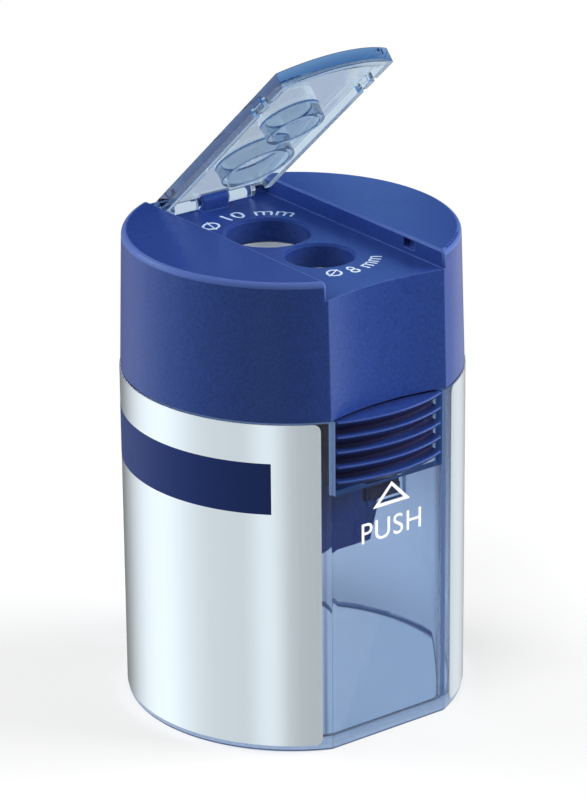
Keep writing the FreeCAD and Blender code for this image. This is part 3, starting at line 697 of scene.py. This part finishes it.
def arc_print_tree():
    """Printed words that follow an arc round a pencil hole."""
    name = "arc_print"
    if name in bpy.data.node_groups:
        return bpy.data.node_groups[name]
    tree, start, end = new_shape_tree(name, {
        "Words": ("NodeSocketString", ""),
        "Size": ("NodeSocketFloat", 3 * MM),
        "Radius": ("NodeSocketFloat", 7 * MM),
        "Turn": ("NodeSocketFloat", 0.0),
        "Side": ("NodeSocketFloat", 1.0),
        "Centre": ("NodeSocketVector", (0, 0, 0)),
        "Ink": ("NodeSocketFloat", 0.02 * MM),
        "Material": ("NodeSocketMaterial", None),
    })
    words = add_node(tree, "GeometryNodeStringToCurves", align_x="CENTER")
    fill = tree.nodes.new("GeometryNodeFillCurve")
    real = tree.nodes.new("GeometryNodeRealizeInstances")
    thick = add_node(tree, "GeometryNodeExtrudeMesh", mode="FACES")
    thick.inputs["Individual"].default_value = False
    flip = tree.nodes.new("GeometryNodeFlipFaces")
    both = tree.nodes.new("GeometryNodeJoinGeometry")
    weld = tree.nodes.new("GeometryNodeMergeByDistance")
    weld.inputs["Distance"].default_value = MERGE_DISTANCE
    bend = tree.nodes.new("GeometryNodeSetPosition")
    place = tree.nodes.new("GeometryNodeInputPosition")
    parts = tree.nodes.new("ShaderNodeSeparateXYZ")
    round_arc = tree.nodes.new("ShaderNodeCombineXYZ")
    centred = add_node(tree, "ShaderNodeVectorMath", operation="ADD")
    join(tree, start, "Words", words, "String")
    join(tree, start, "Size", words, "Size")
    join(tree, words, "Curve Instances", fill, "Curve")
    join(tree, fill, "Mesh", real, "Geometry")
    join(tree, real, "Geometry", thick, "Mesh")
    join(tree, start, "Ink", thick, "Offset Scale")
    join(tree, real, "Geometry", flip, "Mesh")
    join(tree, thick, "Mesh", both, "Geometry")
    join(tree, flip, "Mesh", both, "Geometry")
    join(tree, both, "Geometry", weld, "Geometry")
    join(tree, place, "Position", parts, "Vector")
    swing = math_node(tree, "DIVIDE", parts.outputs["X"], start.outputs["Radius"])
    swing = math_node(tree, "ADD", swing, start.outputs["Turn"])
    outward = math_node(tree, "MULTIPLY", parts.outputs["Y"], start.outputs["Side"])
    outward = math_node(tree, "ADD", outward, start.outputs["Radius"])
    across = math_node(tree, "MULTIPLY", outward, math_node(tree, "SINE", swing))
    along = math_node(tree, "MULTIPLY", outward, math_node(tree, "COSINE", swing))
    along = math_node(tree, "MULTIPLY", along, start.outputs["Side"])
    tree.links.new(across, round_arc.inputs["X"])
    tree.links.new(along, round_arc.inputs["Y"])
    join(tree, parts, "Z", round_arc, "Z")
    join(tree, round_arc, "Vector", centred, 0)
    join(tree, start, "Centre", centred, 1)
    join(tree, weld, "Geometry", bend, "Geometry")
    join(tree, centred, "Vector", bend, "Position")
    end_shape_tree(tree, start, end, bend.outputs["Geometry"])
    return tree


def round_panel_tree():
    """A thin slab bent round the tub's axis between two angles."""
    name = "round_panel"
    if name in bpy.data.node_groups:
        return bpy.data.node_groups[name]
    tree, start, end = new_shape_tree(name, {
        "Radius": ("NodeSocketFloat", LABEL_RADIUS),
        "Ink": ("NodeSocketFloat", 0.02 * MM),
        "Low": ("NodeSocketFloat", 30 * MM),
        "High": ("NodeSocketFloat", 40 * MM),
        "Near": ("NodeSocketFloat", 0.7),
        "Far": ("NodeSocketFloat", 2.4),
        "Material": ("NodeSocketMaterial", None),
    })
    slab = add_node(tree, "GeometryNodeMeshCube", {"Vertices X": 96, "Vertices Y": 2, "Vertices Z": 2})
    slab.inputs["Size"].default_value = (1, 1, 1)
    bend = tree.nodes.new("GeometryNodeSetPosition")
    place = tree.nodes.new("GeometryNodeInputPosition")
    parts = tree.nodes.new("ShaderNodeSeparateXYZ")
    built = tree.nodes.new("ShaderNodeCombineXYZ")

    def between(socket, low, high):
        share = math_node(tree, "ADD", socket, 0.5)
        span = math_node(tree, "SUBTRACT", high, low)
        return math_node(tree, "ADD", math_node(tree, "MULTIPLY", share, span), low)

    join(tree, place, "Position", parts, "Vector")
    swing = between(parts.outputs["X"], start.outputs["Near"], start.outputs["Far"])
    outer = math_node(tree, "ADD", start.outputs["Radius"], start.outputs["Ink"])
    reach = between(parts.outputs["Y"], outer, start.outputs["Radius"])
    height = between(parts.outputs["Z"], start.outputs["Low"], start.outputs["High"])
    left = math_node(tree, "MULTIPLY", reach, math_node(tree, "SINE", swing))
    front = math_node(tree, "MULTIPLY", reach, math_node(tree, "COSINE", swing))
    tree.links.new(math_node(tree, "MULTIPLY", left, -1), built.inputs["X"])
    tree.links.new(math_node(tree, "MULTIPLY", front, -1), built.inputs["Y"])
    tree.links.new(height, built.inputs["Z"])
    join(tree, slab, "Mesh", bend, "Geometry")
    join(tree, built, "Vector", bend, "Position")
    end_shape_tree(tree, start, end, bend.outputs["Geometry"])
    return tree


# Operators


class SHARPENER_OT_head(bpy.types.Operator):
    """Gives the head its moulded blue plastic and soft edges, with a painted highlight on its edges and
    fillets
    """

    bl_idname = "sharpener.head"
    bl_label = "Head"

    def execute(self, context):
        mesh = smooth_mesh("head_shell")
        mark_fillets(mesh, sizes().head_strip)
        place_piece("head_cap", mesh, "head", "blue_plastic", plastic_material(), "head_shell")
        return {"FINISHED"}


class SHARPENER_OT_latch(bpy.types.Operator):
    """Gives the ribbed press pad its moulded blue plastic, with painted highlights on the rib crests and
    painted shade in the valleys
    """

    bl_idname = "sharpener.latch"
    bl_label = "Press latch"

    def execute(self, context):
        mesh = smooth_mesh("press_latch")
        mark_ribs(mesh, sizes().rib_shade)
        place_piece("ribbed_latch", mesh, "latch", "blue_plastic", plastic_material(), "press_latch")
        return {"FINISHED"}


class SHARPENER_OT_tub(bpy.types.Operator):
    """Makes the see-through tub"""

    bl_idname = "sharpener.tub"
    bl_label = "Tub"

    def execute(self, context):
        mesh = smooth_mesh("tub")
        middle = (TUB_LOW.z + TUB_HIGH.z) / 2
        under_rim = TUB_HIGH.z - SILL_DROP
        # The sills get a painted dark line, like the tub's fillets
        ledges = [face for face in mesh.polygons if face.normal.z > FACING]
        sills = [face for face in ledges if middle < face.center.z < under_rim]
        mark_fillets(mesh, sizes().tub_strip, sills)
        tone = colours()
        clear = clear_material("tub_clear", tone.tub_face, tone.tub, tone.tub_edge_glow)
        place_piece("clear_tub", mesh, "tub_body", "tinted_clear", clear, "tub")
        return {"FINISHED"}


class SHARPENER_OT_labels(bpy.types.Operator):
    """Finishes the foil labels and prints the bare blue panel on the left one"""

    bl_idname = "sharpener.labels"
    bl_label = "Foil labels"

    def execute(self, context):
        foil = foil_material()
        for node in ("left_label", "right_label"):
            finish_node(node, foil)
        size = sizes()
        blue = ink_material("panel_ink", colours().panel)
        values = {
            "Radius": LABEL_RADIUS,
            "Ink": size.ink,
            "Low": size.panel_low,
            "High": size.panel_high,
            "Near": size.panel_near,
            "Far": size.panel_far,
            "Material": blue,
        }
        mesh = node_tree_mesh(round_panel_tree(), "label_panel", values)
        place_piece("label_panel", mesh, "tub_body", "foil", blue)
        return {"FINISHED"}


class SHARPENER_OT_lid(bpy.types.Operator):
    """Makes the see-through lid"""

    bl_idname = "sharpener.lid"
    bl_label = "Lid"

    def execute(self, context):
        mesh = rounded_mesh("lid", sizes().lid_round)
        tone = colours()
        clear = clear_material("lid_clear", tone.lid_face, tone.lid, tone.lid_edge_glow)
        place_piece("clear_lid", mesh, "lid", "lid_clear", clear, "lid")
        return {"FINISHED"}


class SHARPENER_OT_cutter(bpy.types.Operator):
    """Finishes the metal sharpener, its blades and screws, and their carrier"""

    bl_idname = "sharpener.cutter"
    bl_label = "Cutter"

    def execute(self, context):
        steel = metal_material("ground_steel", colours().steel, metallic=1, gloss=0.28, lines_across=4000)
        alloy = metal_material("milled_alloy", colours().alloy, metallic=0.1, gloss=0.5, lines_across=1800)
        finishes = {
            "insert_carrier": plastic_material(),
            "sharpener_block": alloy,
            "large_blade": steel,
            "small_blade": steel,
            "blade_screws": steel,
        }
        for node, material in finishes.items():
            finish_node(node, material)
        return {"FINISHED"}


def triangle_mesh(name):
    """Outline triangle that points at the press pad, on the tub's front."""
    size = sizes()
    outer = [
        Vector((-size.triangle_half, size.triangle_low)),
        Vector((size.triangle_half, size.triangle_low)),
        Vector((0, size.triangle_high)),
    ]
    sides = [(outer[i] - outer[i - 1]).length for i in range(3)]
    double_area = (outer[1] - outer[0]).cross(outer[2] - outer[0])
    inner_radius = double_area / sum(sides)
    weights = [(outer[i - 2] - outer[i - 1]).length for i in range(3)]
    middle = sum((p * w for p, w in zip(outer, weights)), Vector((0, 0))) / sum(weights)
    shrink = 1 - size.triangle_line / inner_radius
    inner = [middle + (p - middle) * shrink for p in outer]
    work = bmesh.new()
    rings = []
    for depth in (0, size.ink):
        for ring in (outer, inner):
            rings.append([work.verts.new((p.x + size.mark_x, FRONT_Y - depth, p.y)) for p in ring])
    back_outer, back_inner, front_outer, front_inner = rings
    bands = (
        (front_outer, front_inner),
        (back_inner, back_outer),
        (back_outer, front_outer),
        (front_inner, back_inner),
    )
    for first, second in bands:
        for i in range(3):
            work.faces.new((first[i - 1], first[i], second[i], second[i - 1]))
    bmesh.ops.recalc_face_normals(work, faces=work.faces)
    mesh = bpy.data.meshes.new(name)
    work.to_mesh(mesh)
    work.free()
    return mesh


def word_mesh(name, words):
    """A word in a plain face, stood on the tub's front."""
    size = sizes()
    text = bpy.data.curves.new(name, "FONT")
    text.body = words
    text.align_x = "CENTER"
    text.size = size.word_size
    text.space_character = WORD_SPACING
    text.extrude = size.ink / 2
    carrier = bpy.data.objects.new(name + "_carrier", text)
    bpy.context.scene.collection.objects.link(carrier)
    mesh = finished_mesh(carrier, name)
    stand = Matrix.Rotation(math.radians(90), 4, "X")
    mesh.transform(Matrix.Translation((size.mark_x, FRONT_Y - size.ink / 2, size.word_z)) @ stand)
    return mesh


class SHARPENER_OT_marks(bpy.types.Operator):
    """Prints plain sizes beside the pencil holes, and a triangle and word under the press pad"""

    bl_idname = "sharpener.marks"
    bl_label = "Printed marks"

    def execute(self, context):
        size = sizes()
        white = ink_material("white_ink", colours().white)
        pale = ink_material("pale_ink", colours().pale)
        behind, before = 1.0, -1.0
        rows = (
            ("large_hole_size", LARGE_HOLE, "\u00d8 10 mm", behind),
            ("small_hole_size", SMALL_HOLE, "\u00d8 8 mm", before),
        )
        for name, hole, words, side in rows:
            reach = hole["dims"]["r_mm"] * MM + size.number_gap
            if side == before:
                reach += FIGURE_SHARE * size.number_size
            values = {
                "Words": words,
                "Size": size.number_size,
                "Radius": reach,
                "Turn": NUMBER_TURN,
                "Side": side,
                "Centre": (hole["pos_m"][0], hole["pos_m"][1], CHANNEL_FLOOR),
                "Ink": size.ink,
                "Material": pale,
            }
            mesh = node_tree_mesh(arc_print_tree(), name, values)
            place_piece(name, mesh, "head", "blue_plastic", pale)
        place_piece("push_triangle", triangle_mesh("push_triangle"), "tub_body", "tinted_clear", white)
        place_piece("push_word", word_mesh("push_word", "PUSH"), "tub_body", "tinted_clear", white)
        return {"FINISHED"}


def near_to_far(tree, near, far):
    """A value that rises from 0 to 1 between two distances from the object's middle."""
    place = tree.nodes.new("ShaderNodeTexCoord")
    reach = add_node(tree, "ShaderNodeVectorMath", operation="LENGTH")
    rise = add_node(tree, "ShaderNodeMapRange", {"From Min": near, "From Max": far})
    rise.interpolation_type = "SMOOTHSTEP"
    join(tree, place, "Object", reach, 0)
    join(tree, reach, "Value", rise, "Value")
    return rise.outputs["Result"]


def seen_through(tree, path):
    """Light that comes through the clear plastic to the eye, with no reflection on its way."""
    straight = math_node(tree, "LESS_THAN", path.outputs["Glossy Depth"], 0.5)
    return math_node(tree, "MULTIPLY", straight, path.outputs["Is Transmission Ray"])


def floor_material():
    """White floor with a soft shadow near the object, and a painted dim blue glow, standing in for light and
    shade, where it is seen through the tub's base.
    """
    material, tree, shader = new_material("studio_floor")
    shader.inputs["Roughness"].default_value = 0.9
    shader.inputs["Specular IOR Level"].default_value = 0
    path = tree.nodes.new("ShaderNodeLightPath")
    camera_ray = path.outputs["Is Camera Ray"]
    base = mix_colour(tree, camera_ray, colours().bounce, colours().floor)
    tree.links.new(base, shader.inputs["Base Color"])
    # Painted glow and shade under the tub, for rays that reach the floor straight through the tub
    open_floor = math_node(tree, "MAXIMUM", near_to_far(tree, *UNDER_TUB_GLOW_FADE), camera_ray)
    glow = add_node(tree, "ShaderNodeEmission", {"Strength": 1})
    tree.links.new(mix_colour(tree, open_floor, colours().under_tub_glow, WHITE), glow.inputs["Color"])
    lift = math_node(tree, "MAXIMUM", near_to_far(tree, *SHADOW_FADE), SHADOW_LIFT)
    direct = math_node(tree, "MULTIPLY", camera_ray, lift)
    seen = tree.nodes.new("ShaderNodeMixShader")
    tree.links.new(math_node(tree, "MAXIMUM", direct, seen_through(tree, path)), seen.inputs["Fac"])
    tree.links.new(shader.outputs["BSDF"], seen.inputs[1])
    tree.links.new(glow.outputs["Emission"], seen.inputs[2])
    join(tree, seen, "Shader", tree.nodes["Material Output"], "Surface")
    return material


def studio_world(ambient):
    """White all round to the eye, soft as light and dim in the shine."""
    world = bpy.data.worlds.new("studio")
    world.use_nodes = True
    tree = world.node_tree
    tree.nodes.clear()
    out = tree.nodes.new("ShaderNodeOutputWorld")
    path = tree.nodes.new("ShaderNodeLightPath")
    soft = tree.nodes.new("ShaderNodeBackground")
    level = math_node(tree, "MULTIPLY", path.outputs["Is Glossy Ray"], SHINE_AMBIENT - ambient)
    tree.links.new(math_node(tree, "ADD", level, ambient), soft.inputs["Strength"])
    white = add_node(tree, "ShaderNodeBackground", {"Color": WHITE, "Strength": 1})
    seen = tree.nodes.new("ShaderNodeMixShader")
    shown = math_node(tree, "MAXIMUM", path.outputs["Is Camera Ray"], seen_through(tree, path))
    tree.links.new(shown, seen.inputs["Fac"])
    tree.links.new(soft.outputs[0], seen.inputs[1])
    tree.links.new(white.outputs[0], seen.inputs[2])
    join(tree, seen, "Shader", out, "Surface")
    bpy.context.scene.world = world


def round_place(turn, rise, distance):
    """A place round the object: degrees from its front, degrees of height and metres from its middle."""
    turn, rise = math.radians(turn), math.radians(rise)
    flat = Vector((math.sin(turn), -math.cos(turn), 0))
    return STAGE_MIDDLE + distance * (flat * math.cos(rise) + Vector((0, 0, math.sin(rise))))


def soft_box(name, turn, rise, distance, size, power, shown):
    """A square lamp that faces the middle of the stage."""
    lamp = bpy.data.lights.new(name, "AREA")
    lamp.shape = "SQUARE"
    lamp.size = size
    lamp.energy = power
    box = bpy.data.objects.new(name, lamp)
    bpy.context.scene.collection.objects.link(box)
    box.location = round_place(turn, rise, distance)
    box.rotation_euler = (STAGE_MIDDLE - box.location).to_track_quat("-Z", "Y").to_euler()
    box.visible_glossy = shown
    box.visible_transmission = False


def tub_lamp():
    """A soft lamp inside the tub that lights the backs of the labels and is not seen itself."""
    lamp = bpy.data.lights.new("tub_lamp", "POINT")
    lamp.energy = TUB_LAMP_POWER
    lamp.shadow_soft_size = TUB_LAMP_RADIUS
    bulb = bpy.data.objects.new("tub_lamp", lamp)
    bpy.context.scene.collection.objects.link(bulb)
    bulb.location = TUB_LAMP_PLACE
    bulb.visible_camera = False
    bulb.visible_glossy = False
    bulb.visible_transmission = False


def panel_light(turn, panels):
    """Light of soft panels at a turn: full in the middle of a panel and none at its ends."""
    light = 0
    for middle, half, bright in panels:
        away = abs(turn - middle) / half
        if away < 1:
            light += bright * math.cos(away * math.pi / 2) ** 2
    return light


def shine_card(name, radius, foot, top, first, last, shade, dark, panels):
    """Backdrop bent round the object, seen only in its shine."""
    work = bmesh.new()
    tones = work.verts.layers.float_color.new("tone")
    rows = []
    for turn in range(first, last + 1):
        tone = Vector(shade) * (dark + panel_light(turn, panels))
        flat = radius * Vector((math.sin(math.radians(turn)), -math.cos(math.radians(turn)), 0))
        rows.append([work.verts.new(flat + Vector((0, 0, z))) for z in (foot, top)])
        for vert in rows[-1]:
            vert[tones] = (*tone, 1)
    for near, far in zip(rows, rows[1:]):
        work.faces.new((near[0], far[0], far[1], near[1]))
    mesh = bpy.data.meshes.new(name)
    work.to_mesh(mesh)
    work.free()
    material, tree, _ = new_material(name)
    tone = add_node(tree, "ShaderNodeAttribute", attribute_name="tone")
    glow = tree.nodes.new("ShaderNodeEmission")
    join(tree, tone, "Color", glow, "Color")
    join(tree, glow, "Emission", tree.nodes["Material Output"], "Surface")
    mesh.materials.append(material)
    card = bpy.data.objects.new(name, mesh)
    bpy.context.scene.collection.objects.link(card)
    card.visible_camera = False
    card.visible_diffuse = False
    card.visible_shadow = False
    card.visible_transmission = False


def photo_camera():
    """The camera, turned, raised and rolled round its target."""
    stage = bpy.context.scene.sharpener_stage
    turn, rise, roll = stage.azimuth, stage.elevation, stage.roll
    back = Vector((math.sin(turn) * math.cos(rise), -math.cos(turn) * math.cos(rise), math.sin(rise)))
    right = Vector((0, 0, 1)).cross(back).normalized()
    up = back.cross(right)
    rolled_right = math.cos(roll) * right + math.sin(roll) * up
    rolled_up = math.cos(roll) * up - math.sin(roll) * right
    data = bpy.data.cameras.new("photo_camera")
    data.sensor_width = 36
    data.lens = stage.lens
    camera = bpy.data.objects.new("photo_camera", data)
    bpy.context.scene.collection.objects.link(camera)
    axes = Matrix((rolled_right, rolled_up, back)).transposed().to_4x4()
    camera.matrix_world = Matrix.Translation(Vector(stage.target) + back * stage.distance) @ axes
    data.clip_start = 0.01
    data.clip_end = 20
    bpy.context.scene.camera = camera


class SHARPENER_OT_stage(bpy.types.Operator):
    """Sets the floor, the soft light and the camera"""

    bl_idname = "sharpener.stage"
    bl_label = "Studio stage"

    def execute(self, context):
        scene = context.scene
        scene.view_settings.view_transform = "Standard"
        studio_world(scene.sharpener_stage.ambient)
        work = bmesh.new()
        bmesh.ops.create_grid(work, x_segments=1, y_segments=1, size=FLOOR_HALF)
        mesh = bpy.data.meshes.new("floor")
        work.to_mesh(mesh)
        work.free()
        mesh.materials.append(floor_material())
        floor = bpy.data.objects.new("floor", mesh)
        scene.collection.objects.link(floor)
        floor.visible_glossy = False
        for lamp in LAMPS:
            soft_box(*lamp)
        tub_lamp()
        for card in BACKDROPS:
            shine_card(*card)
        photo_camera()
        return {"FINISHED"}


class SHARPENER_PT_panel(bpy.types.Panel):
    """Lists the sharpener's pieces, sizes and colours"""

    bl_idname = "SHARPENER_PT_panel"
    bl_label = "Tub pencil sharpener"
    bl_space_type = "VIEW_3D"
    bl_region_type = "UI"
    bl_category = "Sharpener"

    def draw(self, context):
        for operator in OPERATORS:
            self.layout.operator(operator.bl_idname)
        for group_name in GROUPS:
            group = getattr(context.scene, group_name)
            column = self.layout.column()
            for name in group.bl_rna.properties.keys():
                if name not in ("rna_type", "name"):
                    column.prop(group, name)


GROUPS = {
    "sharpener_sizes": SharpenerSizes,
    "sharpener_colours": SharpenerColours,
    "sharpener_stage": SharpenerStage,
}
OPERATORS = (
    SHARPENER_OT_tub,
    SHARPENER_OT_labels,
    SHARPENER_OT_head,
    SHARPENER_OT_latch,
    SHARPENER_OT_lid,
    SHARPENER_OT_cutter,
    SHARPENER_OT_marks,
    SHARPENER_OT_stage,
)
CLASSES = (*GROUPS.values(), *OPERATORS, SHARPENER_PT_panel)


def register():
    for item in CLASSES:
        bpy.utils.register_class(item)
    for name, group in GROUPS.items():
        setattr(bpy.types.Scene, name, PointerProperty(type=group))


def unregister():
    for name in GROUPS:
        delattr(bpy.types.Scene, name)
    for item in reversed(CLASSES):
        bpy.utils.unregister_class(item)


def main():
    register()
    for operator in OPERATORS:
        family, action = operator.bl_idname.split(".")
        getattr(getattr(bpy.ops, family), action)()


if __name__ == "__main__":
    main()
